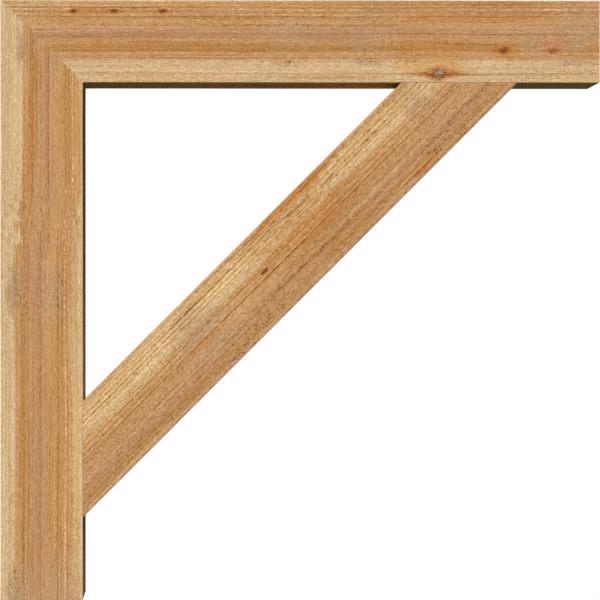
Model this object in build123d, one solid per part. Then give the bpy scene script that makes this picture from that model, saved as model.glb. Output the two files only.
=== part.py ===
from build123d import *
import os

# Offset brace bracket: a timber post against the wall, a timber arm out from its top, mitred
# together at the corner, and a diagonal brace butted between them, set back from both free ends.
# Eight structural screws, sunk into the two hidden faces, hold the three timbers together.
#
# Frame: the back of the post is the plane x = 0 (the wall) and the top of the arm is z = 0 (the
# soffit). They meet at the origin, half way across the bracket's width. +X runs out from the wall
# along the arm and +Z is up. Lengths are in millimetres.

# Timber
BRACKET_DEPTH = 1016.0      # out from the wall, the length of the arm
BRACKET_HEIGHT = 1016.0     # down the wall, the length of the post
TIMBER_FACE = 139.7         # the side of the section seen from the front
TIMBER_WIDTH = 139.7        # across the bracket
ARM_TAIL = 139.7            # free end of the arm beyond the brace
POST_TAIL = 139.7           # free end of the post below the brace
EDGE_EASE = 1.2             # saw-sharp edges taken off by hand

# Structural screw with a hexagonal washer head, all eight alike
SHANK_DIAMETER = 5.6
THREAD_DIAMETER = 8.0
THREAD_LENGTH = 76.0        # all of it stands in the timber that the screw bites
TIP_LENGTH = 9.0
WASHER_DIAMETER = 17.5
WASHER_THICKNESS = 1.8
HEX_ACROSS_FLATS = 9.5
HEX_HEIGHT = 5.0            # above the washer

# Screw holes
DRIVER_ROOM = 2.25          # round the washer, in the counterbore
COUNTERBORE_DEPTH = 30.0
CLEARANCE = 0.25            # round the thread, in the timber that the head pulls on
BRACE_BITE = 90.0           # how far a screw stands in the brace
SCREW_EDGE = 25.0           # outer screws, in from the bracket's side faces
MIDDLE_GAUGE = 36.0         # across the two top screws of the corner
CORNER_INSET = 45.0         # corner screws, in from the inner faces of the timbers
FIRST_SCREW_SHARE = 0.14    # brace screws, down the seat from its inner end
SECOND_SCREW_SHARE = 0.36

# Worked out
screw_length = TIMBER_FACE - COUNTERBORE_DEPTH + BRACE_BITE
counterbore_diameter = WASHER_DIAMETER + 2 * DRIVER_ROOM
bore_diameter = THREAD_DIAMETER + 2 * CLEARANCE
outer_gauge = TIMBER_WIDTH / 2 - SCREW_EDGE
corner_screw_line = TIMBER_FACE - CORNER_INSET

# The brace's outer edge runs from the post to the arm, between the two tails.
foot_heel = Vector(TIMBER_FACE, 0, POST_TAIL - BRACKET_HEIGHT)
head_heel = Vector(BRACKET_DEPTH - ARM_TAIL, 0, -TIMBER_FACE)
brace_line = head_heel - foot_heel
brace_run = brace_line.normalized()
foot_seat = TIMBER_FACE / brace_run.X       # length of the brace's cut end on the post
head_seat = TIMBER_FACE / brace_run.Z       # and on the arm

mitre = Plane(origin=(0, 0, 0), z_dir=(1, 0, 1))
post_face = Plane(origin=(TIMBER_FACE, 0, 0), z_dir=(1, 0, 0))
arm_face = Plane(origin=(0, 0, -TIMBER_FACE), z_dir=(0, 0, -1))


def mitred_timber(length):
    """A timber along +X under z = 0, with a square far end and a 45 degree mitre at the origin."""
    stock = Box(length, TIMBER_WIDTH, TIMBER_FACE, align=(Align.MIN, Align.CENTER, Align.MAX))
    near_end = stock.faces().sort_by(Axis.X)[0].edges()
    stock = chamfer([edge for edge in stock.edges() if edge not in near_end], EDGE_EASE)
    return split(stock, bisect_by=mitre, keep=Keep.TOP)


def brace_timber():
    """The diagonal timber, both ends cut to lie flat on the post and under the arm."""
    along = Plane(origin=(foot_heel + head_heel) / 2, x_dir=brace_run, z_dir=(0, -1, 0))
    length = brace_line.length + TIMBER_FACE
    stock = Box(length, TIMBER_FACE, TIMBER_WIDTH, align=(Align.CENTER, Align.MIN, Align.CENTER))
    stock = along * chamfer(stock.edges().filter_by(Axis.X), EDGE_EASE)
    for seat in (post_face, arm_face):
        stock = split(stock, bisect_by=seat, keep=Keep.TOP)
    return stock


def turned(points):
    """A solid of revolution about X from an outline of (x, radius) points that starts and ends on X."""
    outline = Polyline(*[(x, radius) for x, radius in points], close=True)
    return revolve(make_face(outline), axis=Axis.X)


def screw_body():
    """Smooth shank, thread as its outside envelope, and point. The head's seat is x = 0."""
    thread_start = screw_length - THREAD_LENGTH
    tip_start = screw_length - TIP_LENGTH
    return turned([
        (0, 0),
        (0, SHANK_DIAMETER / 2),
        (thread_start, SHANK_DIAMETER / 2),
        (thread_start, THREAD_DIAMETER / 2),
        (tip_start, THREAD_DIAMETER / 2),
        (screw_length, 0),
    ])


def screw():
    """The whole screw: a hexagon standing on its own washer, and the body on the other side."""
    washer = turned([
        (-WASHER_THICKNESS, 0),
        (-WASHER_THICKNESS, WASHER_DIAMETER / 2),
        (0, WASHER_DIAMETER / 2),
        (0, 0),
    ])
    hexagon = RegularPolygon(HEX_ACROSS_FLATS / 2, 6, major_radius=False)
    washer_top = Plane(origin=(-WASHER_THICKNESS, 0, 0), z_dir=(-1, 0, 0))
    return extrude(washer_top * hexagon, HEX_HEIGHT) + washer + screw_body()


def screw_hole():
    """What is drilled for a screw in the timber under its head: counterbore, then clearance."""
    counterbore = Cylinder(
        counterbore_diameter / 2, COUNTERBORE_DEPTH, align=(Align.CENTER, Align.CENTER, Align.MAX))
    clearance = Cylinder(
        bore_diameter / 2, TIMBER_FACE, align=(Align.CENTER, Align.CENTER, Align.MIN))
    return Plane.YZ * (counterbore + clearance)


def threaded_hole():
    """What a screw's thread cuts on its way through the timber that it bites, to the point."""
    return Plane.YZ * Cylinder(
        THREAD_DIAMETER / 2, screw_length, align=(Align.CENTER, Align.CENTER, Align.MIN))


def from_wall(y, z):
    """Where a screw driven in through the wall face has its head's seat."""
    return Location((COUNTERBORE_DEPTH, y, z))


def from_soffit(x, y):
    """Where a screw driven down through the soffit face has its head's seat."""
    return Location((x, y, -COUNTERBORE_DEPTH), (0, 90, 0))


def stagger(first, second):
    """Two places along a seat, one near each side face, so that the grain isn't split."""
    return [(first, -outer_gauge), (second, outer_gauge)]


# Corner: two screws in from the wall near the side faces, two down from the soffit between them.
corner_wall = [from_wall(y, -corner_screw_line) for y in (-outer_gauge, outer_gauge)]
corner_soffit = [from_soffit(corner_screw_line, y) for y in (-MIDDLE_GAUGE / 2, MIDDLE_GAUGE / 2)]

# Brace: two screws through the post into its foot, two through the arm into its head.
screw_shares = (FIRST_SCREW_SHARE, SECOND_SCREW_SHARE)
foot_places = [foot_heel.Z + foot_seat * (1 - share) for share in screw_shares]
head_places = [head_heel.X - head_seat * (1 - share) for share in screw_shares]
brace_foot = [from_wall(y, z) for z, y in stagger(*foot_places)]
brace_head = [from_soffit(x, y) for x, y in stagger(*head_places)]


def drilled(timber, held, biting):
    """The timber with the holes of the screws that pull on it and of those that bite into it."""
    for place in held:
        timber -= place * screw_hole()
    for place in biting:
        timber -= place * threaded_hole()
    return timber


top_arm = drilled(mitred_timber(BRACKET_DEPTH), corner_soffit + brace_head, corner_wall)
wall_post = drilled(
    mirror(mitred_timber(BRACKET_HEIGHT), about=mitre), corner_wall + brace_foot, corner_soffit)
diagonal_brace = drilled(brace_timber(), [], brace_foot + brace_head)

nodes = {
    "wall_post": wall_post,
    "top_arm": top_arm,
    "diagonal_brace": diagonal_brace,
    "corner_screws": Compound([place * screw() for place in corner_wall + corner_soffit]),
    "brace_foot_screws": Compound([place * screw() for place in brace_foot]),
    "brace_head_screws": Compound([place * screw() for place in brace_head]),
}

os.makedirs("parts", exist_ok=True)
for name, shape in nodes.items():
    export_step(shape, f"parts/{name}.step")
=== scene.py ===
import itertools
import math

import bpy
import numpy as np
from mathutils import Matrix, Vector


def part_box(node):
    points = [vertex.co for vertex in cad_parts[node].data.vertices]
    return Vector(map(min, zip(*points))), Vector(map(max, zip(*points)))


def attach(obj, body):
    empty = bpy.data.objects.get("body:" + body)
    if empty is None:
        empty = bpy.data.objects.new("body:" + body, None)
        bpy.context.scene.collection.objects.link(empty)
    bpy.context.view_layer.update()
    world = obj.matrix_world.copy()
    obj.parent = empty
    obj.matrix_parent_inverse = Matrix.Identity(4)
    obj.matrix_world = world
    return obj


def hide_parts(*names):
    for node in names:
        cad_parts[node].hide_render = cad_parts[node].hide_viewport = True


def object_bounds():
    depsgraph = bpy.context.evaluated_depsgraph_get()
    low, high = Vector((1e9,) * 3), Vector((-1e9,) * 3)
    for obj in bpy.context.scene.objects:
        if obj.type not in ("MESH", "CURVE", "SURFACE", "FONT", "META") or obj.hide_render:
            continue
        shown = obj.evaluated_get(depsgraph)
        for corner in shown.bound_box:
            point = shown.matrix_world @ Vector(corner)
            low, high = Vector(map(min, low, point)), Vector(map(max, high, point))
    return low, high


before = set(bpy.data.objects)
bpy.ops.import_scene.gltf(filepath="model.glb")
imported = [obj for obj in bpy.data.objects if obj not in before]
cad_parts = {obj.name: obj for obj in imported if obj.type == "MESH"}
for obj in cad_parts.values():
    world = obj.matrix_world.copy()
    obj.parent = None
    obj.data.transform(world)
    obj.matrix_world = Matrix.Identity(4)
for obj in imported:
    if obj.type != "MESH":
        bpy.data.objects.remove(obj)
cad_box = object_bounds()

# The view: a long lens, level with the middle of the bracket and a little to the left of it, so
# that the post's inner side and the arm's underside show as thin dark strips.
LOW = np.array(cad_box[0])
HIGH = np.array(cad_box[1])
MIDDLE = (LOW + HIGH) / 2
EYE_DISTANCE = 4.61         # from the bracket's front
EYE_LEFT = 0.199            # of the bracket's middle
LENS_SHIFT = 0.14           # the rest of the sideways view comes from turning the camera
FRAME_MARGIN = 1.0007

edge_angles = np.arctan((np.array((LOW[0], HIGH[0])) - MIDDLE[0] + EYE_LEFT) / EYE_DISTANCE)
swing = 0.0
for _ in range(5):          # the camera turns until the bracket's two sides stand evenly in the frame
    left, right = np.tan(edge_angles - swing)
    half_tangent = (right - left) / 2 * FRAME_MARGIN
    swing += (left + right) / 2 - 2 * half_tangent * LENS_SHIFT
camera_data = bpy.data.cameras.new("camera")
camera_data.lens = camera_data.sensor_width / 2 / half_tangent
camera_data.shift_x = LENS_SHIFT
camera = bpy.data.objects.new("camera", camera_data)
camera.location = (MIDDLE[0] - EYE_LEFT, LOW[1] - EYE_DISTANCE, MIDDLE[2])
camera.rotation_euler = (math.pi / 2, 0, -swing)
bpy.context.collection.objects.link(camera)
bpy.context.scene.camera = camera
bpy.context.scene.view_settings.view_transform = "Standard"


class Wire:
    """A socket of a shader tree. Arithmetic on wires adds Math nodes, so a pattern reads as a formula."""

    def __init__(self, tree, socket=None):
        self.tree = tree
        self.socket = socket

    def node(self, kind, settings, inputs, out=0):
        """A new node: its type, its settings, and the value or wire of each socket by name or number."""
        made = self.tree.nodes.new(kind)
        for name, value in settings.items():
            if name == "stops":
                ramp = made.color_ramp
                for place, colour in value[1:-1]:
                    ramp.elements.new(place)
                for element, (place, colour) in zip(ramp.elements, value):
                    element.position = place
                    element.color = (*colour, 1)
            else:
                setattr(made, name, value)
        for name, value in inputs.items():
            if isinstance(value, Wire):
                self.tree.links.new(value.socket, made.inputs[name])
            else:
                made.inputs[name].default_value = value
        return Wire(self.tree, made.outputs[out] if made.outputs else None)

    def math(self, operation, *others):
        return self.node("ShaderNodeMath", {"operation": operation}, dict(enumerate((self, *others))))

    def __add__(self, other):
        return self.math("ADD", other)

    def __sub__(self, other):
        return self.math("SUBTRACT", other)

    def __rsub__(self, other):
        return self.node("ShaderNodeMath", {"operation": "SUBTRACT"}, {0: other, 1: self})

    def __mul__(self, other):
        return self.math("MULTIPLY", other)

    def __truediv__(self, other):
        return self.math("DIVIDE", other)

    def __abs__(self):
        return self.math("ABSOLUTE")

    __radd__ = __add__
    __rmul__ = __mul__

    def ease(self, low, high):
        """0 up to low, 1 from high, smooth between. It falls where low is the larger."""
        return self.node(
            "ShaderNodeMapRange",
            {"interpolation_type": "SMOOTHSTEP"},
            {"Value": self, "From Min": low, "From Max": high},
        )

    def vector(self, operation, *others, out=0):
        inputs = dict(enumerate((self, *others)))
        return self.node("ShaderNodeVectorMath", {"operation": operation}, inputs, out)

    def mixed(self, other, share, how="MIX"):
        """This colour with a share of another laid over it."""
        settings = {"data_type": "RGBA", "blend_type": how}
        return self.node("ShaderNodeMix", settings, {0: share, 6: self, 7: other}, 2)

    def waves(self, cell, seed, detail=1.0):
        """Random values round 0.5 on a place. The cell is the size of a wave along each of its axes."""
        steps = tuple(1 / size for size in cell)
        placed = self.vector("MULTIPLY_ADD", steps, (seed * 7.31, seed * 3.17, seed * 5.73))
        inputs = {"Vector": placed, "Scale": 1.0, "Detail": detail, "Roughness": 0.55}
        return self.node("ShaderNodeTexNoise", {"noise_dimensions": "3D"}, inputs)


# The studio round it: an even white surround for the camera, dimmer as a light, a pale floor that
# fades out into it, and four soft suns that leave the inner sides of the bracket in shade.
AMBIENT = 0.04
SUNS = {                    # direction to the sun, how light it makes a face turned to it, softness
    "sun_front": ((-0.06, -1.0, 0.16), 0.912, 18),
    "sun_back": ((-0.12, 0.95, 0.20), 0.88, 25),
    "sun_wall": ((-1.0, 0.0, 0.06), 0.62, 12),
    "sun_end": ((0.62, 0.0, 0.78), 0.70, 12),
}
FLOOR_DROP = 0.45           # under the foot of the post
FLOOR_RADIUS = 3.2
FLOOR_RINGS = 12
FLOOR_SIDES = 48
FLOOR_COLOUR = (0.90, 0.90, 0.90, 1)
FLOOR_BOUNCE = (0.14, 0.13, 0.10, 1)

world = bpy.data.worlds.new("surround")
world.use_nodes = True
bpy.context.scene.world = world
tree = Wire(world.node_tree)
rays = world.node_tree.nodes.new("ShaderNodeLightPath").outputs
seen = sum(Wire(tree.tree, rays[f"Is {kind} Ray"]) for kind in ("Camera", "Glossy", "Transmission"))
seen = seen.math("MINIMUM", 1.0)
world.node_tree.nodes["Background"].inputs["Color"].default_value = (1, 1, 1, 1)
world.node_tree.links.new(
    (seen * (1 - AMBIENT) + AMBIENT).socket, world.node_tree.nodes["Background"].inputs["Strength"])

for name, (towards, level, softness) in SUNS.items():
    sun = bpy.data.lights.new(name, "SUN")
    sun.energy = math.pi * level
    sun.angle = math.radians(softness)
    lamp = bpy.data.objects.new(name, sun)
    z_axis = np.array(towards) / np.linalg.norm(towards)
    lamp.rotation_euler = (math.acos(z_axis[2]), 0, math.atan2(z_axis[1], z_axis[0]) + math.pi / 2)
    bpy.context.collection.objects.link(lamp)


def grid_faces(ids):
    """The faces of a grid of vertex numbers, four corners each."""
    return np.stack([ids[:-1, :-1], ids[1:, :-1], ids[1:, 1:], ids[:-1, 1:]], axis=-1).reshape(-1, 4)


SHARP_ANGLE = math.radians(40)      # where two faces turn more than this, the edge stays crisp


def solid(name, points, quads, triangles=()):
    """An object from vertex places and faces, turned outwards, smooth but for its sharp edges."""
    mesh = bpy.data.meshes.new(name)
    mesh.from_pydata(points.tolist(), [], np.asarray(quads).tolist() + list(triangles))
    mesh.validate()
    made = bpy.data.objects.new(name, mesh)
    bpy.context.collection.objects.link(made)
    bpy.context.view_layer.objects.active = made
    bpy.ops.object.mode_set(mode="EDIT")
    bpy.ops.mesh.select_all(action="SELECT")
    bpy.ops.mesh.normals_make_consistent(inside=False)
    bpy.ops.object.mode_set(mode="OBJECT")
    mesh.shade_smooth()
    mesh.set_sharp_from_angle(angle=SHARP_ANGLE)
    return made


def floor_disc(radius, height):
    """A flat disc: rings at the square root of even steps, so that its faces are about equal."""
    out = np.sqrt(np.linspace(0.0004, 1, FLOOR_RINGS))[:, None] * radius
    turn = np.linspace(0, 2 * math.pi, FLOOR_SIDES, endpoint=False)[None, :]
    x = MIDDLE[0] + out * np.cos(turn)
    y = MIDDLE[1] + out * np.sin(turn)
    points = np.stack([x, y, np.full_like(x, height)], axis=-1).reshape(-1, 3)
    ids = np.arange(x.size).reshape(x.shape)
    ids = np.column_stack([ids, ids[:, :1]])
    return solid("floor", points, grid_faces(ids), [ids[0, :-1].tolist()])


floor = floor_disc(FLOOR_RADIUS, LOW[2] - FLOOR_DROP)
paint = bpy.data.materials.new("floor_paint")
paint.use_nodes = True
tree = Wire(paint.node_tree)
shader = paint.node_tree.nodes["Principled BSDF"]
shader.inputs["Roughness"].default_value = 0.9
shader.inputs["Specular IOR Level"].default_value = 0.0
looked_at = tree.node("ShaderNodeLightPath", {}, {}, "Is Camera Ray")
bounce = tree.node("ShaderNodeRGB", {}, {})
bounce.socket.default_value = FLOOR_BOUNCE
place = tree.node("ShaderNodeTexCoord", {}, {}, "Object")
from_middle = place.vector("SUBTRACT", (*MIDDLE[:2], LOW[2] - FLOOR_DROP)).vector("LENGTH", out=1)
paint.node_tree.links.new(bounce.mixed(FLOOR_COLOUR, looked_at).socket, shader.inputs["Base Color"])
paint.node_tree.links.new(
    from_middle.ease(FLOOR_RADIUS, FLOOR_RADIUS * 0.45).socket, shader.inputs["Alpha"])
floor.data.materials.append(paint)


# Wall post: 140 mm square cedar, grain upright, mitred at the top and square at the foot. It is
# sawn stock with lightly eased arrises, pale sapwood on the wall side and no finish on it.
GRAIN_STEP = 0.005          # rows of the surface grid, along the grain
CROSS_STEP = 0.00175        # columns, across the grain
ARRIS_STEPS = 3
ARRIS_RADIUS = 0.0017
ARRIS_WORN = (0.55, 1.45)   # the least and the most of that radius along a timber
END_EASE = 0.0012           # round the free ends
JOINT_EASE = 0.00004        # round the sawn joints
JOINT_FADE = 0.02           # the length over which unevenness dies out towards an end
CAP_MARGIN = 0.004          # from the section's outline to the grid of an end face
POINT_LENGTH = 0.0003       # from the last ring of a blind hole or a screw to its point
WAVE_HEIGHT = 0.00025       # the timber's faces are never dead flat
WAVE_LENGTH = 0.11
WAVE_BREADTH = 0.045
RING_HEIGHT = 0.00012       # hard rings stand proud of the soft ones
RIDGE_LENGTH = 0.35
RIDGE_BREADTH = 0.0031
RING_WIDTH = 0.0048
WOOD_SHEEN = 0.0
PITH_DISTANCE = 0.12        # the heart of the tree lies this far outside the section

post_low, post_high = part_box("wall_post")
FACE = post_high[0] - post_low[0]
WIDTH = post_high[1] - post_low[1]


def drift(seed, *axes):
    """Smooth random waves from 0 to 1: a table of random values, one a cell, eased from cell to cell."""
    table = np.random.default_rng(seed).random((32,) * len(axes))
    cells = [np.floor(axis).astype(int) for axis in axes]
    parts = [axis - cell for axis, cell in zip(axes, cells)]
    eased = [part * part * (3 - 2 * part) for part in parts]
    total = 0
    for corner in itertools.product((0, 1), repeat=len(axes)):
        weight = 1
        for part, bit in zip(eased, corner):
            weight = weight * (part if bit else 1 - part)
        total = total + weight * table[tuple((cell + bit) % 32 for cell, bit in zip(cells, corner))]
    return total


def section_loop():
    """Once round a square section, front flat first, each flat followed by its arris. For each point:
    its place (y, w) if the arris were sharp, how that moves for each metre of arris radius, and its
    outward normal. On a flat the points close up evenly; on an arris they follow a quarter circle."""
    half = WIDTH / 2
    corners = np.array([(-half, 0), (-half, FACE), (half, FACE), (half, 0)])
    runs = np.roll(corners, -1, axis=0) - corners
    turn = (np.arange(1, ARRIS_STEPS) / ARRIS_STEPS * math.pi / 2)[:, None]
    sharp, pull, normal = [], [], []
    for corner, run, following in zip(corners, runs, np.roll(runs, -1, axis=0)):
        steps = round(np.linalg.norm(run) / CROSS_STEP)
        share = np.linspace(0, 1, steps + 1)[:, None]
        unit = run / np.linalg.norm(run)
        inward = following / np.linalg.norm(following)
        sharp += [corner + share * run, np.tile(corner + run, (len(turn), 1))]
        pull += [(1 - 2 * share) * unit, unit * (np.sin(turn) - 1) + inward * (1 - np.cos(turn))]
        normal += [np.tile(-inward, (len(share), 1)), unit * np.sin(turn) - inward * np.cos(turn)]
    return np.vstack(sharp), np.vstack(pull), np.vstack(normal)


def cap_rim(across, through):
    """For each point of the section loop, the row and column of the end grid's border beside it."""
    w_up = np.arange(across + 1)
    y_up = np.arange(through + 1)
    arris = np.ones(ARRIS_STEPS - 1, int)
    sides = [
        (w_up, w_up * 0), (arris * across, arris * 0),
        (y_up * 0 + across, y_up), (arris * across, arris * through),
        (w_up[::-1], w_up * 0 + through), (arris * 0, arris * through),
        (y_up * 0, y_up[::-1]), (arris * 0, arris * 0),
    ]
    return tuple(np.concatenate(numbers) for numbers in zip(*sides))


def heart_side(w, heart):
    """How far a place is from the heart of the tree, across the front face: heart is 1 where the heart
    lies beyond the inner side of the timber and -1 where it lies beyond the outer side."""
    return w + PITH_DISTANCE if heart < 0 else FACE + PITH_DISTANCE - w


def hollows(t, y, w, from_end, heart, seed):
    """How far the surface lies under the sawn face: slow waves, and ridges along the growth rings. They
    fade out at the timber's ends, so that the faces are flush where two timbers meet."""
    ring = np.hypot(heart_side(w, heart), y + WIDTH / 2)
    waves = drift(seed, t / WAVE_LENGTH, y / WAVE_BREADTH + 9, w / WAVE_BREADTH)
    ridges = drift(seed + 1, t / RIDGE_LENGTH, ring / RIDGE_BREADTH, y / 0.2 + 9)
    return (WAVE_HEIGHT * waves + RING_HEIGHT * ridges) * np.clip(from_end / JOINT_FADE, 0, 1)


class Timber:
    """The surface of a square timber, in metres: places along the grain t, through it y, across it w."""

    def __init__(self, origin, along, across, start, end, eases, heart, seed):
        """Each end is a plane t = place + slope * w. The grid's rows run across the grain and are
        slanted little by little to suit both ends. Its two end faces are grids of their own."""
        self.frame = np.array([along, (0, 1, 0), across])
        self.origin = np.array(origin)
        sharp, pull, normal = section_loop()
        middle_length = end[0] - start[0] + (end[1] - start[1]) * FACE / 2
        rows = round(middle_length / GRAIN_STEP)
        turn = np.arange(1, ARRIS_STEPS + 1) / ARRIS_STEPS * math.pi / 2
        share = np.concatenate([turn * 0, np.linspace(0, 1, rows + 1), turn * 0 + 1])[:, None]
        near = eases[0] * (1 - np.sin(turn[::-1]))
        far = -eases[1] * (1 - np.sin(turn))
        slide = np.concatenate([near, np.linspace(eases[0], -eases[1], rows + 1), far])[:, None]
        inset = np.concatenate([
            eases[0] * (1 - np.cos(turn[::-1])),
            np.zeros(rows + 1),
            eases[1] * (1 - np.cos(turn)),
        ])[:, None]

        def reached(w):
            """Where each row stands along the grain at the places w across it, from which end how far."""
            first = start[0] + start[1] * w
            last = end[0] + end[1] * w
            t = first + (last - first) * share + slide
            return t, np.minimum(t - first, last - t)

        t, from_end = reached(sharp[:, 1])
        y, w = (np.broadcast_to(axis, t.shape) for axis in sharp.T)
        worn = drift(seed + 2, t / 0.07, y / 0.1 + 5, w / 0.1)
        worn = ARRIS_WORN[0] + (ARRIS_WORN[1] - ARRIS_WORN[0]) * worn
        depth = inset + hollows(t, y, w, from_end, heart, seed)
        section = sharp + pull * (ARRIS_RADIUS * worn)[..., None] - normal * depth[..., None]
        side = np.dstack([reached(section[..., 1])[0], section])

        across_steps = round(FACE / CROSS_STEP)
        through_steps = round(WIDTH / CROSS_STEP)
        cap_w = np.linspace(CAP_MARGIN, FACE - CAP_MARGIN, across_steps + 1)[:, None]
        cap_y = np.linspace(CAP_MARGIN, WIDTH - CAP_MARGIN, through_steps + 1)[None, :] - WIDTH / 2
        cap_w, cap_y = np.broadcast_arrays(cap_w, cap_y)
        ring = np.hypot(heart_side(cap_w, heart), cap_y + WIDTH / 2)
        rough = RING_HEIGHT * drift(seed + 3, ring / 0.0024, cap_y / 0.05 + 9)
        caps = [
            np.dstack([place + slope * cap_w + way * rough, cap_y, cap_w])
            for (place, slope), way in ((start, 1), (end, -1))
        ]
        blocks = [side, *caps]
        self.points = np.vstack([block.reshape(-1, 3) for block in blocks]) @ self.frame + self.origin
        counts = np.cumsum([0] + [block.shape[0] * block.shape[1] for block in blocks])
        numbered = [
            np.arange(first, past).reshape(block.shape[:2])
            for first, past, block in zip(counts, counts[1:], blocks)
        ]
        rim = cap_rim(across_steps, through_steps)
        stack = np.vstack([numbered[1][rim], numbered[0], numbered[2][rim]])
        self.grids = {
            "side": np.column_stack([stack, stack[:, :1]]),
            "start": numbered[1],
            "end": numbered[2],
        }
        self.kept = {name: np.ones(np.array(ids.shape) - 1, bool) for name, ids in self.grids.items()}
        self.faces = []
        self.triangles = []

    WINDOWS = {"side": (3, 8), "start": (5, 6), "end": (5, 6)}      # cells each way from its middle

    def window(self, grid, middle, place, directions):
        """Opens a window of cells in a grid round a point, and returns its border in order of angle."""
        ids = self.grids[grid]
        row, column = np.unravel_index(
            np.argmin(np.linalg.norm(self.points[ids] - middle, axis=-1)), ids.shape)
        up, over = self.WINDOWS[grid]
        top, bottom, left, right = row - up, row + up, column - over, column + over
        self.kept[grid][top:bottom, left:right] = False
        border = np.concatenate([
            ids[top:bottom, left],
            ids[bottom, left:right],
            ids[bottom:top:-1, right],
            ids[top, right:left:-1],
        ])
        offset = (self.points[border] - place) @ np.array(directions).T
        angle = np.arctan2(offset[:, 1], offset[:, 0])
        order = np.argsort(angle)
        return border[order], angle[order]

    def drill(self, place, axis, profile, mouth, outlet=None):
        """A hole along an axis from a place. The profile is (radius, depth) pairs. The mouth, and the
        outlet where the hole goes through, name a grid and the plane n . p = c that it lies in. The
        hole's rings start from the border of the window cut for them and end on the other border,
        or close in a point. Where a ring lies on a slanted plane, its depth changes round it."""
        place = np.array(place)
        axis = np.array(axis)
        directions = ((0, 1, 0), np.cross(axis, (0, 1, 0)))

        def ring(angle, radius, depth):
            spoke = np.cos(angle)[:, None] * directions[0] + np.sin(angle)[:, None] * directions[1]
            return place + radius * spoke + np.multiply.outer(depth, axis)

        def on_plane(angle, radius, normal, level):
            flat = ring(angle, radius, angle * 0)
            return ring(angle, radius, (level - flat @ np.array(normal)) / np.dot(normal, axis))

        def pierced(normal, level):
            return place + axis * (level - np.dot(normal, place)) / np.dot(normal, axis)

        grid, normal, level = mouth
        border, angle = self.window(grid, pierced(normal, level), place, directions)
        rim = on_plane(angle, profile[0][0], normal, level)
        rings = [self.points[border] + (rim - self.points[border]) * share for share in (0.4, 0.75, 1.0)]
        if outlet:
            far_grid, far_normal, far_level = outlet
            far_border, far_angle = self.window(
                far_grid, pierced(far_normal, far_level), place, directions)
            lip = on_plane(far_angle, profile[-1][0], far_normal, far_level)
        else:
            far_angle = angle
        for number, (radius, depth) in enumerate(profile[1:], 1):
            turned = angle + (far_angle - angle) * number / len(profile)
            rings.append(ring(turned, radius, turned * 0 + depth))
        first = len(self.points)
        if outlet:
            rings += [lip + (self.points[far_border] - lip) * share for share in (0.0, 0.25, 0.6)]
        made = np.vstack(rings)
        ids = np.arange(first, first + len(made)).reshape(len(rings), -1)
        stack = [border[None], ids] + ([far_border[None]] if outlet else [])
        stack = np.vstack(stack)
        self.points = np.vstack([self.points, made])
        self.faces.append(grid_faces(np.column_stack([stack, stack[:, :1]])))
        if not outlet:
            tip = len(self.points)
            point = ring(angle[:1], 0, angle[:1] * 0 + profile[-1][1] + POINT_LENGTH)
            self.points = np.vstack([self.points, point])
            self.triangles += [[int(a), int(b), tip] for a, b in zip(ids[-1], np.roll(ids[-1], -1))]

    def build(self, name):
        """The finished object. Where the end grid's corner meets the arris, a face has three corners."""
        quads = np.vstack([
            grid_faces(self.grids[grid])[self.kept[grid].reshape(-1)] for grid in self.grids] + self.faces)
        pinched = (quads[:, 0] == quads[:, 3]) | (quads[:, 1] == quads[:, 2])
        triangles = [[a, b, d] if b == c else [a, b, c] for a, b, c, d in quads[pinched].tolist()]
        return solid(name, self.points, quads[~pinched], triangles + self.triangles)


def tone(red, green, blue):
    """A colour as it looks, 0 to 255 a channel, in the linear values that a shader takes."""
    scale = np.array([red, green, blue]) / 255
    return tuple(np.where(scale > 0.04045, ((scale + 0.055) / 1.055) ** 2.4, scale / 12.92).tolist())


# The tones of the wood, as they look
CREAM = (214, 181, 137)
STRAW = (222, 188, 140)
WHEAT = (220, 183, 130)
BUFF = (206, 166, 117)
HONEY = (201, 152, 100)
TAN = (196, 150, 104)
AMBER = (197, 148, 95)
RUSSET = (186, 135, 82)
ROSE = (190, 141, 99)
DUN = (199, 161, 114)
GREYED = (187, 151, 111)
MAUVE = (196, 157, 128)
PLUM = (178, 132, 100)
PINK = (205, 152, 118)
GOLD = (210, 160, 98)
ORANGE = (196, 132, 72)
RED = (178, 106, 58)
BLUSH = (200, 122, 76)
UMBER = (158, 94, 48)
BARK = (132, 78, 34)
ASH = (178, 150, 132)

FINE_TINT = (0.86, 1.12, 1.60)      # dark fibres are browner than pale ones, not only darker
SLOW_TINT = (0.55, 0.95, 1.50)
END_GRAIN = (0.62, 0.50, 0.38, 1)   # sawn ends are darker than the sides


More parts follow.
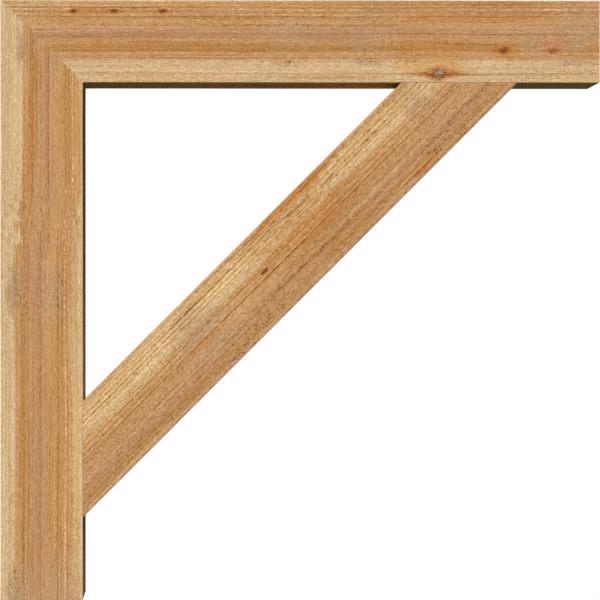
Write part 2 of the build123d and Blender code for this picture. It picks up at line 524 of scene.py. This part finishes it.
def cedar(
        name, timber, heart, seed, contrast, saw_marks, figure, streaks, bends=(), patches=(),
        speckled=(), knots=()):
    """Unfinished cedar. The pattern is the distance from the heart of the tree, so it runs on through
    the timber. Across the front face, from the timber's outer side at 0 to its inner side at 1, figure
    is the tone of the growth rings and streaks are single rings: (place, half width, how much darker).
    Bends shift the rings, patches tint them and speckled spots are pitted: each begins with its middle
    and half sizes, along the grain and across it. Knots are flattened balls that the rings bend round, and
    saw marks are fine ticks across the grain."""
    material = bpy.data.materials.new(name)
    material.use_nodes = True
    tree = Wire(material.node_tree)
    shader = material.node_tree.nodes["Principled BSDF"]
    place = tree.node("ShaderNodeTexCoord", {}, {}, "Object").vector("SUBTRACT", tuple(timber.origin))
    along, through, across = (
        place.vector("DOT_PRODUCT", tuple(direction), out=1) for direction in timber.frame.tolist())
    grain = tree.node("ShaderNodeCombineXYZ", {}, {0: along, 1: through, 2: across})
    ragged = (grain.waves((0.028, 0.02, 0.005), seed + 2, 2.0) - 0.5) * 1.6

    # Where a point lies among the rings, 0 to 1 across the front face, waving a little.
    reach = across + PITH_DISTANCE if heart < 0 else FACE + PITH_DISTANCE - across
    radius = tree.node("ShaderNodeCombineXYZ", {}, {0: reach, 1: through + WIDTH / 2})
    ring = (radius.vector("LENGTH", out=1) - PITH_DISTANCE) / FACE
    if heart > 0:
        ring = 1 - ring
    ring = ring + (grain.waves((0.34, 0.08, 0.05), seed) - 0.5) * 0.045
    ring = ring + (grain.waves((0.045, 0.03, 0.012), seed + 1, 2.0) - 0.5) * 0.012

    def spot(position, middle, halves, soft):
        """1 in the middle of a stretch of grain, 0 outside it, with a ragged edge."""
        offset = position.vector("SUBTRACT", (middle[0], 0, middle[1]))
        offset = offset.vector("MULTIPLY", (1 / halves[0], 0, 1 / halves[1]))
        return (offset.vector("LENGTH", out=1) + ragged).ease(1.0, 1.0 - soft)

    for middle, halves, soft, shift in bends:
        ring = ring + spot(grain, middle, halves, soft) * shift

    # Knots: the rings part round each, and it stains the grain in a tail along the timber.
    balls = []
    for knot in knots:
        length, thickness, breadth = knot["size"]
        offset = grain.vector("SUBTRACT", knot["at"])
        offset = offset.vector("MULTIPLY", (1 / length, 1 / thickness, 1 / breadth))
        wobble = (grain.waves((0.0045, 0.006, 0.0035), seed + 3, 2.0) - 0.5) * 1.7
        distance = offset.vector("LENGTH", out=1)
        sides = [offset.node("ShaderNodeSeparateXYZ", {}, {0: offset}, out) for out in (0, 1, 2)]
        ring = ring - sides[2] * distance.ease(3.2, 0.3) * (breadth / FACE * 0.55)
        tail = abs(sides[0]) * (length / knot["tail"]) + abs(sides[2]) * 0.72 + abs(sides[1])
        balls.append((knot, distance + wobble, tail + wobble * 0.5))

    # The tones: the rings, then the patches of the front half, then the knots.
    stretched = tree.node("ShaderNodeCombineXYZ", {}, {0: along, 1: 0.0, 2: ring * FACE})
    stops = [(share, tone(*rgb)) for share, rgb in figure]
    colour = tree.node("ShaderNodeValToRGB", {"stops": stops}, {0: ring})
    near_front = through.ease(WIDTH * 0.15, -WIDTH * 0.35)
    for middle, halves, rgb, share in patches:
        colour = colour.mixed((*tone(*rgb), 1), spot(stretched, middle, halves, 0.6) * near_front * share)
    shreds = stretched.waves((0.012, 1.0, 0.0028), seed + 19, 2.0).ease(0.34, 0.56)
    crumbs = grain.waves((0.0028, 0.0028, 0.0024), seed + 20, 2.0).ease(0.32, 0.58)
    for knot, distance, tail in balls:
        colour = colour.mixed((*tone(*knot["glow"]), 1), distance.ease(2.6, 0.8) * (crumbs * 0.25 + 0.15))
        colour = colour.mixed((*tone(*knot["glow"]), 1), tail.ease(1.25, 0.35) * (shreds * 0.7 + 0.25))
        colour = colour.mixed((*tone(*knot["edge"]), 1), distance.ease(1.35, 0.90) * (crumbs * 0.7 + 0.25))
        colour = colour.mixed((*tone(*knot["core"]), 1), distance.ease(0.95, 0.50) * (crumbs * 0.3 + 0.65))

    # Single rings: dark ones run through, light ones are broken into dashes.
    dash = stretched.waves((0.0065, 1.0, 0.0040), seed + 4, 1.0).ease(0.44, 0.58)
    dash = dash * (stretched.waves((0.045, 1.0, 0.03), seed + 18, 2.0).ease(0.40, 0.62) * 1.9 + 0.6)
    uneven = stretched.waves((0.06, 1.0, 0.02), seed + 5, 3.0) * 0.9 + 0.55
    fine = tree.node("ShaderNodeValue", {}, {})
    for spot_across, half, darker in streaks:
        line = abs(ring - spot_across).ease(half, half * 0.15)
        if darker < 0:
            line = line * dash
        fine = fine - line * uneven * darker

    # Growth rings: each darkens slowly into its late wood and then ends sharply.
    growth = ring * (FACE / RING_WIDTH) + stretched.waves((0.9, 1.0, 0.011), seed + 6, 2.0) * 5.0
    growth = growth.math("FRACT")
    late = growth.ease(0.35, 0.80) * growth.ease(1.0, 0.88)
    late = late * stretched.waves((0.40, 1.0, 0.0070), seed + 7, 2.0).ease(0.40, 0.66)
    late = late * (stretched.waves((0.014, 1.0, 0.0045), seed + 8, 2.0).ease(0.34, 0.58) + 0.25)

    # The texture of the sawn face: faint rings, fibres, grit, marks of the saw's teeth, dark pits and
    # pale flecks.
    rings = stretched.waves((0.30, 1.0, 0.0040), seed + 9, 2.0) - 0.5
    fibres = grain.waves((0.012, 0.0024, 0.0017), seed + 10, 2.0) - 0.5
    grit = grain.waves((0.0036, 0.0030, 0.0020), seed + 11, 1.0) - 0.5
    teeth = grain.waves((0.0026, 0.030, 0.0120), seed + 12, 1.0) - 0.5
    rough_patches = grain.waves((0.11, 0.06, 0.035), seed + 13, 2.0)
    pits = grain.waves((0.0042, 0.0038, 0.0022), seed + 14, 1.0)
    flecks = grain.waves((0.0090, 0.0040, 0.0022), seed + 15, 1.0).ease(0.60, 0.74)
    pitted = 0.22
    for middle, halves in speckled:
        pitted = spot(stretched, middle, halves, 0.6) * 0.32 + pitted

    fine = fine + rings * 0.46 + fibres * 0.70 - late * 0.24 + flecks * 0.24
    fine = fine - pits.ease(0.42, 0.30) * pitted
    fine = fine + grit * (rough_patches.ease(0.30, 0.70) * 0.6 + 0.50)
    fine = fine + teeth * rough_patches.ease(0.62, 0.40) * saw_marks
    slow = (grain.waves((0.20, 0.09, 0.05), seed + 16, 2.0) - 0.5) * 0.16
    slow = slow + (stretched.waves((0.12, 1.0, 0.008), seed + 17, 2.0) - 0.5) * 0.22
    shade = (fine * contrast + 0.02).vector("MULTIPLY_ADD", FINE_TINT, (1, 1, 1))
    shade = shade.vector("MAXIMUM", (0.08, 0.08, 0.08))
    colour = colour.vector("MULTIPLY", shade)
    colour = colour.vector("MULTIPLY", slow.vector("MULTIPLY_ADD", SLOW_TINT, (1, 1, 1)))

    facing = tree.node("ShaderNodeTexCoord", {}, {}, "Normal")
    facing = abs(facing.vector("DOT_PRODUCT", tuple(timber.frame[0].tolist()), out=1)).ease(0.45, 0.65)
    colour = colour.mixed(END_GRAIN, facing * (0.75 + rings * 0.9), "MULTIPLY")

    height = grit * 0.45 + fibres * 0.7 + rings * 0.5 + teeth * 0.35 - late * 0.25
    bump = tree.node("ShaderNodeBump", {}, {"Strength": 0.5, "Distance": 0.0006, "Height": height})
    roughness = 0.82 + fibres * 0.2
    shader.inputs["Specular IOR Level"].default_value = WOOD_SHEEN
    for socket, wire in (("Base Color", colour), ("Roughness", roughness), ("Normal", bump)):
        material.node_tree.links.new(wire.socket, shader.inputs[socket])
    return material


# The screw holes, the same in both mitred timbers: a counterbore for the head and a clear hole for
# the shank, and where a screw bites, the hole that its thread cuts.
COUNTERBORE_RADIUS = 0.011
COUNTERBORE_DEPTH = 0.030
CLEAR_RADIUS = 0.00425
THREAD_RADIUS = 0.004
SCREW_LENGTH = 0.1997
THREAD_LENGTH = 0.076
TIP_LENGTH = 0.009
CORNER_LINE = 0.0947        # corner screws, from the outer faces
OUTER_GAUGE = 0.04485
MIDDLE_GAUGE = 0.018
BRACE_LINES = (0.70639, 0.74986)    # brace screws, down the post and out along the arm
outer_pair = (-OUTER_GAUGE, OUTER_GAUGE)
middle_pair = (-MIDDLE_GAUGE, MIDDLE_GAUGE)
brace_places = tuple(zip(outer_pair, BRACE_LINES))

clear_hole = [
    (COUNTERBORE_RADIUS + 0.0005, 0.0),
    (COUNTERBORE_RADIUS, 0.0008),
    (COUNTERBORE_RADIUS, 0.010),
    (COUNTERBORE_RADIUS, 0.020),
    (COUNTERBORE_RADIUS, COUNTERBORE_DEPTH - 0.0004),
    (COUNTERBORE_RADIUS - 0.0004, COUNTERBORE_DEPTH),
    (CLEAR_RADIUS + 0.003, COUNTERBORE_DEPTH),
    (CLEAR_RADIUS, COUNTERBORE_DEPTH),
    (CLEAR_RADIUS, COUNTERBORE_DEPTH + 0.012),
]
screw_end = COUNTERBORE_DEPTH + SCREW_LENGTH
threaded_hole = [
    (THREAD_RADIUS, 0.0),
    (THREAD_RADIUS, 0.170),
    (THREAD_RADIUS, screw_end - TIP_LENGTH),
    (THREAD_RADIUS * 0.5, screw_end - TIP_LENGTH / 2),
    (THREAD_RADIUS * 0.1, screw_end - POINT_LENGTH),
]

mitre_slope = (0.0, 1.0)
post_timber = Timber(
    origin=(0, 0, 0), along=(0, 0, -1), across=(1, 0, 0), start=mitre_slope,
    end=(-post_low[2], 0.0), eases=(JOINT_EASE, END_EASE), heart=1, seed=11)
mitre_plane = ("start", (1, 0, 1), 0.0)
for y in outer_pair:
    post_timber.drill((0, y, -CORNER_LINE), (1, 0, 0), clear_hole, ("side", (1, 0, 0), 0.0), mitre_plane)
for y, down in brace_places:
    post_timber.drill(
        (0, y, -down), (1, 0, 0), clear_hole, ("side", (1, 0, 0), 0.0), ("side", (1, 0, 0), FACE))
for y in middle_pair:
    post_timber.drill((CORNER_LINE, y, 0), (0, 0, -1), threaded_hole, mitre_plane)
post = post_timber.build("post_timber")
post.data.materials.append(cedar(
    "post_cedar", post_timber, heart=1, seed=1, contrast=0.88, saw_marks=0.20,
    figure=[
        (0.00, CREAM), (0.17, CREAM), (0.195, HONEY), (0.24, HONEY), (0.28, RUSSET), (0.33, TAN),
        (0.40, TAN), (0.46, ROSE), (0.50, ROSE), (0.56, HONEY), (0.63, AMBER), (0.70, AMBER),
        (0.76, AMBER), (0.84, HONEY), (0.88, BUFF), (0.93, BUFF), (0.96, STRAW), (1.00, CREAM),
    ],
    streaks=[
        (-0.033, 0.008, 0.16), (0.004, 0.008, 0.16), (0.030, 0.010, 0.08), (0.100, 0.010, 0.10),
        (0.155, 0.016, -0.10), (0.200, 0.010, 0.08), (0.295, 0.012, 0.17), (0.343, 0.011, 0.13),
        (0.378, 0.010, -0.07), (0.427, 0.010, -0.07), (0.489, 0.011, 0.16), (0.520, 0.012, -0.14),
        (0.549, 0.008, 0.08), (0.573, 0.009, -0.08), (0.659, 0.010, -0.08), (0.695, 0.011, 0.31),
        (0.742, 0.010, 0.16), (0.785, 0.011, -0.48), (0.809, 0.010, 0.22), (0.835, 0.008, -0.10),
        (0.856, 0.008, 0.14),
    ],
    bends=[((0.0, 0.07), (0.42, 2.0), 0.20, -0.094)],
    patches=[
        ((0.490, 0.024), (0.060, 0.017), GREYED, 0.9), ((0.995, 0.030), (0.055, 0.026), GREYED, 0.9),
        ((0.570, 0.124), (0.060, 0.016), BUFF, 0.6), ((0.120, 0.050), (0.045, 0.012), RUSSET, 0.5),
        ((0.085, 0.024), (0.040, 0.013), GREYED, 0.8), ((0.450, 0.047), (0.055, 0.014), ROSE, 0.9),
        ((0.240, 0.040), (0.110, 0.012), ORANGE, 0.3), ((0.350, 0.090), (0.100, 0.020), TAN, 0.4),
        ((0.115, 0.102), (0.030, 0.014), RUSSET, 0.5), ((0.740, 0.046), (0.220, 0.010), ORANGE, 0.30),
        ((0.475, 0.072), (0.080, 0.009), MAUVE, 0.45), ((0.495, 0.092), (0.060, 0.026), GREYED, 0.6),
        ((0.240, 0.130), (0.070, 0.011), GREYED, 0.5), ((1.010, 0.100), (0.090, 0.045), GREYED, 0.6),
        ((0.230, 0.100), (0.120, 0.010), RUSSET, 0.5), ((0.380, 0.128), (0.060, 0.010), CREAM, 0.5),
        ((0.820, 0.077), (0.200, 0.014), ROSE, 0.4), ((0.110, 0.078), (0.035, 0.018), GREYED, 0.4),
        ((0.700, 0.127), (0.240, 0.010), STRAW, 0.55), ((0.125, 0.030), (0.035, 0.008), BUFF, 0.50),
    ],
    speckled=[
        ((0.500, 0.020), (0.026, 0.010)), ((0.505, 0.045), (0.040, 0.022)),
        ((0.090, 0.024), (0.026, 0.010)), ((0.985, 0.022), (0.030, 0.020)),
        ((0.490, 0.095), (0.050, 0.020)),
    ]))
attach(post, "root")
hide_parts("wall_post")


# Top arm: the same stock with the grain level, mitred onto the post and square at its free end. It
# has three knots near the brace and beyond, and three small ones in a row near the corner.
arm_low, arm_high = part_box("top_arm")
arm_timber = Timber(
    origin=(0, 0, 0), along=(1, 0, 0), across=(0, 0, -1), start=mitre_slope,
    end=(arm_high[0], 0.0), eases=(JOINT_EASE, END_EASE), heart=-1, seed=23)
for y in middle_pair:
    arm_timber.drill((CORNER_LINE, y, 0), (0, 0, -1), clear_hole, ("side", (0, 0, 1), 0.0), mitre_plane)
for y, out in brace_places:
    arm_timber.drill(
        (out, y, 0), (0, 0, -1), clear_hole, ("side", (0, 0, 1), 0.0), ("side", (0, 0, 1), -FACE))
for y in outer_pair:
    arm_timber.drill((0, y, -CORNER_LINE), (1, 0, 0), threaded_hole, mitre_plane)
arm = arm_timber.build("arm_timber")
FRONT = -WIDTH / 2

small_knots = [
    dict(
        at=(out, FRONT, 0.0185), size=(0.0058, 0.012, 0.0032), tail=0.020,
        core=BARK, edge=BARK, glow=RUSSET)
    for out in (0.124, 0.193, 0.275)
]
arm.data.materials.append(cedar(
    "arm_cedar", arm_timber, heart=-1, seed=2, contrast=1.0, saw_marks=0.35,
    figure=[
        (0.00, BUFF), (0.05, HONEY), (0.12, HONEY), (0.15, TAN), (0.18, HONEY), (0.21, TAN),
        (0.26, HONEY), (0.35, TAN), (0.40, ROSE), (0.45, ROSE), (0.50, HONEY), (0.55, RUSSET),
        (0.61, RUSSET), (0.64, HONEY), (0.70, TAN), (0.725, BUFF), (0.75, CREAM), (0.86, CREAM),
        (0.90, BUFF), (0.93, CREAM), (1.00, CREAM),
    ],
    streaks=[
        (0.049, 0.009, 0.07), (0.068, 0.009, -0.14), (0.091, 0.010, 0.18), (0.114, 0.009, -0.36),
        (0.140, 0.010, 0.24), (0.177, 0.009, -0.24), (0.203, 0.012, 0.29), (0.250, 0.010, -0.08),
        (0.329, 0.010, -0.12), (0.354, 0.009, 0.08), (0.376, 0.010, -0.14), (0.412, 0.011, 0.11),
        (0.480, 0.011, -0.08), (0.560, 0.009, 0.07), (0.607, 0.012, 0.13), (0.656, 0.010, -0.10),
        (0.700, 0.010, 0.10), (0.864, 0.010, -0.14), (0.890, 0.009, 0.14), (0.922, 0.010, -0.15),
    ],
    patches=[
        ((0.015, 0.012), (0.085, 0.050), DUN, 1.0), ((0.150, 0.006), (0.120, 0.012), BUFF, 0.5),
        ((0.210, 0.047), (0.160, 0.006), PINK, 0.7), ((0.930, 0.046), (0.120, 0.005), PINK, 0.5),
        ((0.165, 0.077), (0.036, 0.015), ORANGE, 0.45), ((0.247, 0.076), (0.040, 0.014), ORANGE, 0.35),
        ((0.341, 0.080), (0.035, 0.012), ORANGE, 0.40), ((0.430, 0.087), (0.032, 0.004), RED, 0.55),
        ((0.576, 0.083), (0.032, 0.004), RED, 0.55), ((0.500, 0.055), (0.065, 0.035), GREYED, 0.5),
        ((0.560, 0.060), (0.110, 0.014), PLUM, 0.5), ((0.620, 0.050), (0.050, 0.055), GREYED, 0.5),
        ((0.740, 0.077), (0.090, 0.026), ORANGE, 0.40), ((0.810, 0.031), (0.170, 0.011), ORANGE, 0.5),
        ((0.860, 0.085), (0.036, 0.023), ORANGE, 0.50), ((0.860, 0.094), (0.030, 0.010), BLUSH, 0.35),
        ((0.930, 0.070), (0.090, 0.030), GREYED, 0.7), ((0.730, 0.112), (0.085, 0.020), GOLD, 0.75),
        ((0.710, 0.061), (0.050, 0.011), RUSSET, 0.55), ((0.700, 0.096), (0.042, 0.010), RUSSET, 0.45),
        ((0.705, 0.026), (0.050, 0.010), ORANGE, 0.35), ((0.105, 0.030), (0.075, 0.013), ORANGE, 0.35),
        ((0.930, 0.061), (0.085, 0.009), ROSE, 0.45), ((0.270, 0.008), (0.050, 0.008), WHEAT, 0.40),
        ((0.990, 0.035), (0.070, 0.045), GREYED, 0.6), ((0.938, 0.073), (0.036, 0.011), BLUSH, 0.42),
        ((0.835, 0.106), (0.045, 0.010), STRAW, 0.7), ((0.475, 0.104), (0.040, 0.008), TAN, 0.7),
        ((0.625, 0.104), (0.034, 0.009), GREYED, 0.7), ((0.975, 0.104), (0.055, 0.008), GREYED, 0.7),
        ((0.160, 0.021), (0.050, 0.010), ORANGE, 0.35), ((0.280, 0.022), (0.035, 0.010), ORANGE, 0.30),
        ((0.700, 0.006), (0.320, 0.016), RUSSET, 0.60), ((0.260, 0.134), (0.130, 0.009), HONEY, 0.45),
    ],
    speckled=[
        ((0.490, 0.107), (0.028, 0.009)), ((0.625, 0.095), (0.034, 0.030)),
        ((0.975, 0.105), (0.05, 0.010)),
    ],
    knots=small_knots + [
        dict(
            at=(0.7428, FRONT, 0.1245), size=(0.0104, 0.05, 0.0088), tail=0.058,
            core=ASH, edge=BARK, glow=RED),
        dict(
            at=(0.8530, FRONT, 0.0850), size=(0.0084, 0.03, 0.0050), tail=0.038,
            core=BARK, edge=BARK, glow=RED),
        dict(
            at=(0.9370, FRONT, 0.0860), size=(0.0080, 0.03, 0.0040), tail=0.036,
            core=UMBER, edge=UMBER, glow=BLUSH),
    ]))
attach(arm, "root")
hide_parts("top_arm")


# Diagonal brace: the same stock at 45 degrees, its sawn ends flat against the post and the arm, its
# front flush with theirs. Strong dark and light rings run along its upper side and its middle.
brace_low, brace_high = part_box("diagonal_brace")
HALF_ROOT = math.sqrt(0.5)
brace_middle = (np.array(brace_low) + np.array(brace_high)) / 2
outer_half = (brace_high[0] - brace_low[0]) * HALF_ROOT
brace_centre = np.array((brace_middle[0], 0, brace_middle[2]))
outer_line = np.dot(np.array((brace_high[0], 0, brace_high[2])), (HALF_ROOT, 0, -HALF_ROOT))
inner_shift = outer_line - np.dot(brace_centre, (HALF_ROOT, 0, -HALF_ROOT)) - FACE
brace_origin = brace_centre + inner_shift * np.array((HALF_ROOT, 0, -HALF_ROOT))
inner_half = outer_half - FACE
brace_timber = Timber(
    origin=brace_origin, along=(HALF_ROOT, 0, HALF_ROOT), across=(HALF_ROOT, 0, -HALF_ROOT),
    start=(-inner_half, -1.0), end=(inner_half, 1.0), eases=(JOINT_EASE, JOINT_EASE), heart=1, seed=37)
for y, down in brace_places:
    brace_timber.drill((0, y, -down), (1, 0, 0), threaded_hole, ("start", (1, 0, 0), FACE))
    brace_timber.drill((down, y, 0), (0, 0, -1), threaded_hole, ("end", (0, 0, 1), -FACE))
brace = brace_timber.build("brace_timber")
brace.data.materials.append(cedar(
    "brace_cedar", brace_timber, heart=1, seed=3, contrast=1.15, saw_marks=0.5,
    figure=[
        (0.00, HONEY), (0.05, BUFF), (0.12, WHEAT), (0.18, WHEAT), (0.24, WHEAT), (0.29, CREAM),
        (0.34, BUFF), (0.39, HONEY), (0.44, HONEY), (0.50, TAN), (0.56, HONEY), (0.62, TAN),
        (0.69, TAN), (0.76, ROSE), (0.82, ROSE), (0.87, RUSSET), (0.92, TAN), (0.96, TAN), (1.00, ROSE),
    ],
    streaks=[
        (0.047, 0.012, 0.17), (0.090, 0.008, 0.14), (0.110, 0.009, -0.12), (0.131, 0.010, 0.42),
        (0.159, 0.010, -0.11), (0.183, 0.010, 0.34), (0.209, 0.010, -0.13), (0.231, 0.009, 0.30),
        (0.256, 0.012, -0.08), (0.360, 0.009, 0.10), (0.381, 0.009, -0.12), (0.405, 0.010, 0.30),
        (0.427, 0.009, -0.20), (0.468, 0.009, 0.13), (0.488, 0.009, -0.16), (0.516, 0.011, 0.26),
        (0.690, 0.018, -0.08), (0.726, 0.020, 0.08), (0.867, 0.010, 0.09), (0.918, 0.013, 0.10),
    ],
    bends=[
        ((0.112, 0.026), (0.105, 0.032), 0.9, -0.026), ((0.122, 0.034), (0.060, 0.018), 0.9, -0.028),
    ],
    patches=[
        ((-0.160, 0.062), (0.070, 0.080), GREYED, 0.60), ((0.375, 0.060), (0.040, 0.095), GREYED, 0.40),
        ((0.115, 0.006), (0.130, 0.013), ORANGE, 0.85), ((0.118, 0.0775), (0.085, 0.006), RED, 0.6),
        ((0.110, 0.092), (0.130, 0.036), RUSSET, 0.5), ((0.115, 0.105), (0.050, 0.005), UMBER, 0.4),
        ((0.130, 0.120), (0.060, 0.016), RUSSET, 0.6), ((-0.150, 0.125), (0.055, 0.012), RUSSET, 0.5),
        ((0.300, 0.129), (0.042, 0.006), RED, 0.9), ((0.285, 0.1245), (0.050, 0.0025), GOLD, 0.8),
        ((0.211, 0.119), (0.007, 0.004), RED, 0.50), ((-0.310, 0.047), (0.120, 0.010), STRAW, 0.45),
        ((0.310, 0.045), (0.130, 0.011), STRAW, 0.25), ((0.090, 0.045), (0.130, 0.034), HONEY, 0.75),
        ((0.100, 0.058), (0.120, 0.020), ORANGE, 0.45), ((0.120, 0.076), (0.085, 0.012), ORANGE, 0.40),
        ((-0.190, 0.077), (0.100, 0.010), RUSSET, 0.60), ((-0.150, 0.132), (0.055, 0.009), PLUM, 0.40),
        ((0.150, 0.132), (0.055, 0.008), RUSSET, 0.50), ((-0.200, 0.008), (0.110, 0.011), STRAW, 0.60),
        ((-0.245, 0.027), (0.060, 0.010), STRAW, 0.50), ((0.400, 0.026), (0.080, 0.010), WHEAT, 0.40),
        ((0.360, 0.134), (0.080, 0.008), RUSSET, 0.45), ((0.150, 0.061), (0.050, 0.009), RUSSET, 0.50),
        ((-0.150, 0.078), (0.050, 0.010), RUSSET, 0.50), ((0.060, 0.018), (0.110, 0.016), HONEY, 0.60),
        ((-0.350, 0.134), (0.180, 0.008), BUFF, 0.4), ((0.365, 0.045), (0.028, 0.011), PLUM, 0.5),
        ((-0.100, 0.012), (0.100, 0.008), WHEAT, 0.5), ((0.300, 0.030), (0.150, 0.012), STRAW, 0.20),
    ],
    speckled=[((-0.10, 0.125), (0.10, 0.015)), ((0.36, 0.115), (0.05, 0.03))],
    knots=[dict(
        at=(-0.0085, FRONT, 0.0622), size=(0.0070, 0.03, 0.0030), tail=0.026,
        core=BARK, edge=BARK, glow=RUSSET)]))
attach(brace, "root")
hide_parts("diagonal_brace")


# Screws: eight structural screws of dull stainless steel with hexagonal washer heads, each in a
# counterbore of a hidden face. The thread stands in the timber that it bites, and pulls on the other.
ROUND_STEPS = 48
TURN_ROWS = 8               # rows of points for one turn of the thread
PITCH = 0.0045
WASHER_RADIUS = 0.00875
WASHER_THICKNESS = 0.0018
HEX_ACROSS = 0.0095
HEX_HEIGHT = 0.005
SHANK_RADIUS = 0.0028
CORE_RADIUS = 0.0026
STEEL = (0.44, 0.44, 0.425)
THREAD_START = SCREW_LENGTH - THREAD_LENGTH


def screw_rows():
    """Places along a screw and the radius round each. A hexagon's radius is its half width over the
    cosine of the angle from the middle of a side. A thread's is a triangle wave of how many pitches a
    point is along, less how many turns it is round, and fades into the shank and the point."""
    turn = np.linspace(0, 2 * math.pi, ROUND_STEPS, endpoint=False)[None, :]
    side = (turn + math.pi / 6) % (math.pi / 3) - math.pi / 6
    hexagon = HEX_ACROSS / 2 / np.cos(side)
    top = -WASHER_THICKNESS - HEX_HEIGHT
    head = [
        (top + 0.0007, 0.0022), (top + 0.0004, 0.0031), (top, 0.0035), (top, 0.0042),
        (top + 0.0003, np.minimum(hexagon, 0.0050)), (top + 0.0008, hexagon),
        (-WASHER_THICKNESS - 0.0004, hexagon), (-WASHER_THICKNESS, hexagon + 0.0005),
        (-WASHER_THICKNESS + 0.0002, WASHER_RADIUS - 0.0010),
        (-WASHER_THICKNESS + 0.0006, WASHER_RADIUS - 0.0002),
        (-0.0009, WASHER_RADIUS), (-0.0003, WASHER_RADIUS), (0.0, WASHER_RADIUS - 0.0004),
        (0.0, SHANK_RADIUS + 0.0006),
        (0.0006, SHANK_RADIUS), (THREAD_START - 0.001, SHANK_RADIUS),
    ]
    x = np.arange(THREAD_START, SCREW_LENGTH - POINT_LENGTH, PITCH / TURN_ROWS)[:, None]
    wave = np.abs((x / PITCH - turn / (2 * math.pi)) % 1 * 2 - 1)
    cone = np.clip((SCREW_LENGTH - x) / TIP_LENGTH, 0, 1)
    fading = np.clip((x - THREAD_START) / PITCH, 0, 1)
    height = (THREAD_RADIUS - CORE_RADIUS) * np.clip(wave * 1.6 - 0.6, 0, 1) * fading
    thread = (CORE_RADIUS + height) * cone
    places = np.concatenate([[place for place, _ in head], x[:, 0]])
    radii = np.vstack([np.broadcast_to(radius, turn.shape) for _, radius in head] + [thread])
    return places, radii, turn


def screws(name, seats):
    """The screws of one node, each a closed surface: where the washer sits, and which way it is driven."""
    places, radii, turn = screw_rows()
    points, quads, triangles = [], [], []
    for seat, axis in seats:
        first = sum(len(block) for block in points)
        third = np.cross(axis, (0, 1, 0))
        spokes = np.multiply.outer(np.cos(turn), (0, 1, 0)) + np.multiply.outer(np.sin(turn), third)
        rings = np.array(seat) + np.multiply.outer(places, axis)[:, None] + radii[..., None] * spokes
        ends = np.array(seat) + np.multiply.outer((places[0], SCREW_LENGTH), axis)
        points += [rings.reshape(-1, 3), ends]
        ids = first + np.arange(radii.size).reshape(radii.shape)
        quads.append(grid_faces(np.column_stack([ids, ids[:, :1]])))
        for row, pole in ((ids[0], first + radii.size), (ids[-1], first + radii.size + 1)):
            triangles += [[int(a), int(b), pole] for a, b in zip(row, np.roll(row, -1))]
    return solid(name, np.vstack(points), np.vstack(quads), triangles)


def dull_steel():
    """Stainless steel, faintly mottled, with a fine grain in its surface."""
    material = bpy.data.materials.new("screw_steel")
    material.use_nodes = True
    tree = Wire(material.node_tree)
    shader = material.node_tree.nodes["Principled BSDF"]
    place = tree.node("ShaderNodeTexCoord", {}, {}, "Object")
    mottle = place.waves((0.004, 0.004, 0.004), 41, 3.0) - 0.5
    marks = place.waves((0.0004, 0.0004, 0.0004), 42, 2.0) - 0.5
    colour = (mottle * 0.5 + 1.0).vector("MULTIPLY", STEEL)
    bump = tree.node("ShaderNodeBump", {}, {"Strength": 0.3, "Distance": 0.0001, "Height": marks})
    shader.inputs["Metallic"].default_value = 1.0
    for socket, wire in (("Base Color", colour), ("Roughness", mottle * 0.4 + 0.54), ("Normal", bump)):
        material.node_tree.links.new(wire.socket, shader.inputs[socket])
    return material


steel = dull_steel()
INTO_WALL = (1, 0, 0)
DOWN = (0, 0, -1)
corner_seats = [((COUNTERBORE_DEPTH, y, -CORNER_LINE), INTO_WALL) for y in outer_pair]
corner_seats += [((CORNER_LINE, y, -COUNTERBORE_DEPTH), DOWN) for y in middle_pair]
foot_seats = [((COUNTERBORE_DEPTH, y, -down), INTO_WALL) for y, down in brace_places]
head_seats = [((out, y, -COUNTERBORE_DEPTH), DOWN) for y, out in brace_places]
screw_nodes = {
    "corner_screws": corner_seats,
    "brace_foot_screws": foot_seats,
    "brace_head_screws": head_seats,
}
for node, seats in screw_nodes.items():
    made = screws(node.replace("screws", "steel_screws"), seats)
    made.data.materials.append(steel)
    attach(made, "root")
    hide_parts(node)
